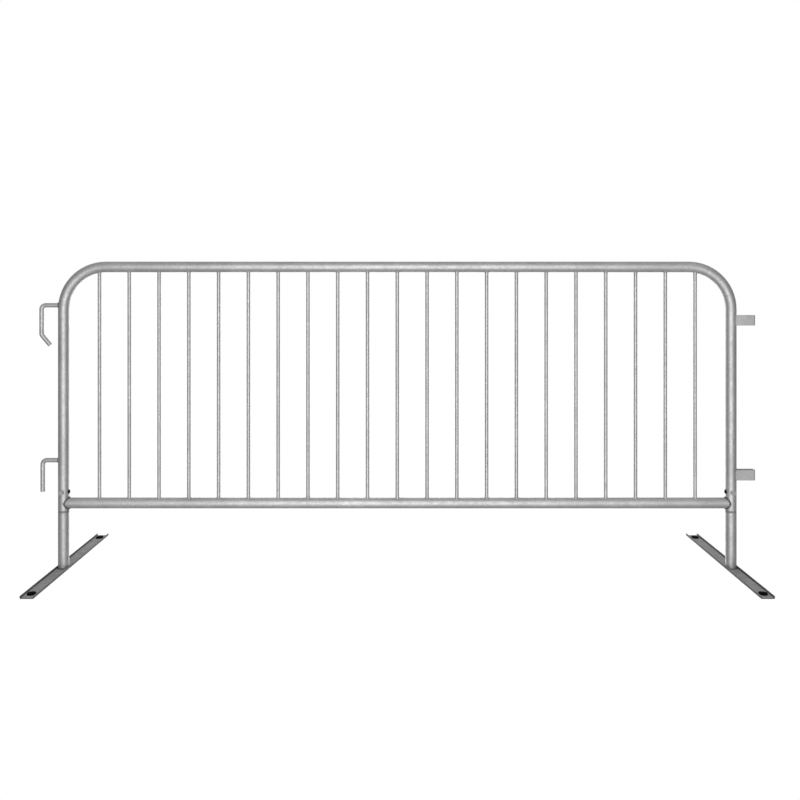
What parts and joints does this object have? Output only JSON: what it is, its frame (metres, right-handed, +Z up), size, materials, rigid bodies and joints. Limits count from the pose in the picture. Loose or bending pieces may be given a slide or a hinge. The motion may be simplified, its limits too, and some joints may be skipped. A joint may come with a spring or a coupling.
{
  "type": "crowd control barrier",
  "caption": "Galvanised steel tube barrier panel with vertical infill bars, interlocking side hooks and strap loops, and pull-off legs on flat channel feet.",
  "frame": {"origin": "centre of the footprint, on the floor under the rubber pads", "axes": "+X along the panel from the hook side to the loop side, +Y from the front to the back, +Z up"},
  "size_m": [2.5704, 0.711, 1.105],
  "materials": {
    "galvanised_steel": "hot-dip galvanised, satin",
    "dull_steel": "dull grey, matt",
    "zinc_plate": "zinc plated",
    "black_rubber": "matt",
    "black_plastic": "satin"
  },
  "bodies": {
    "frame": {"frame_tube": "galvanised_steel", "lower_rail": "galvanised_steel", "infill_bar_01": "galvanised_steel", "infill_bar_02": "galvanised_steel", "infill_bar_03": "galvanised_steel", "infill_bar_04": "galvanised_steel", "infill_bar_05": "galvanised_steel", "infill_bar_06": "galvanised_steel", "infill_bar_07": "galvanised_steel", "infill_bar_08": "galvanised_steel", "infill_bar_09": "galvanised_steel", "infill_bar_10": "galvanised_steel", "infill_bar_11": "galvanised_steel", "infill_bar_12": "galvanised_steel", "infill_bar_13": "galvanised_steel", "infill_bar_14": "galvanised_steel", "infill_bar_15": "galvanised_steel", "infill_bar_16": "galvanised_steel", "infill_bar_17": "galvanised_steel", "infill_bar_18": "galvanised_steel", "infill_bar_19": "galvanised_steel", "infill_bar_20": "galvanised_steel", "infill_bar_21": "galvanised_steel", "upper_hook": "galvanised_steel", "lower_hook": "galvanised_steel", "upper_loop": "galvanised_steel", "lower_loop": "galvanised_steel", "left_bolt": "zinc_plate", "left_washer": "zinc_plate", "left_nut": "zinc_plate", "left_vent_plug": "black_plastic", "right_bolt": "zinc_plate", "right_washer": "zinc_plate", "right_nut": "zinc_plate", "right_vent_plug": "black_plastic"},
    "left_leg": {"left_leg_tube": "galvanised_steel", "left_spigot": "galvanised_steel", "left_stop_ring": "dull_steel", "left_foot_channel": "dull_steel", "left_front_pad": "black_rubber", "left_rear_pad": "black_rubber"},
    "right_leg": {"right_leg_tube": "galvanised_steel", "right_spigot": "galvanised_steel", "right_stop_ring": "dull_steel", "right_foot_channel": "dull_steel", "right_front_pad": "black_rubber", "right_rear_pad": "black_rubber"}
  },
  "joints": [
    {"name": "left_leg_slide", "type": "slide", "parent": "frame", "child": "left_leg", "axis": [0, 0, -1], "range_m": [0, 0.12]},
    {"name": "right_leg_slide", "type": "slide", "parent": "frame", "child": "right_leg", "axis": [0, 0, -1], "range_m": [0, 0.12]}
  ]
}
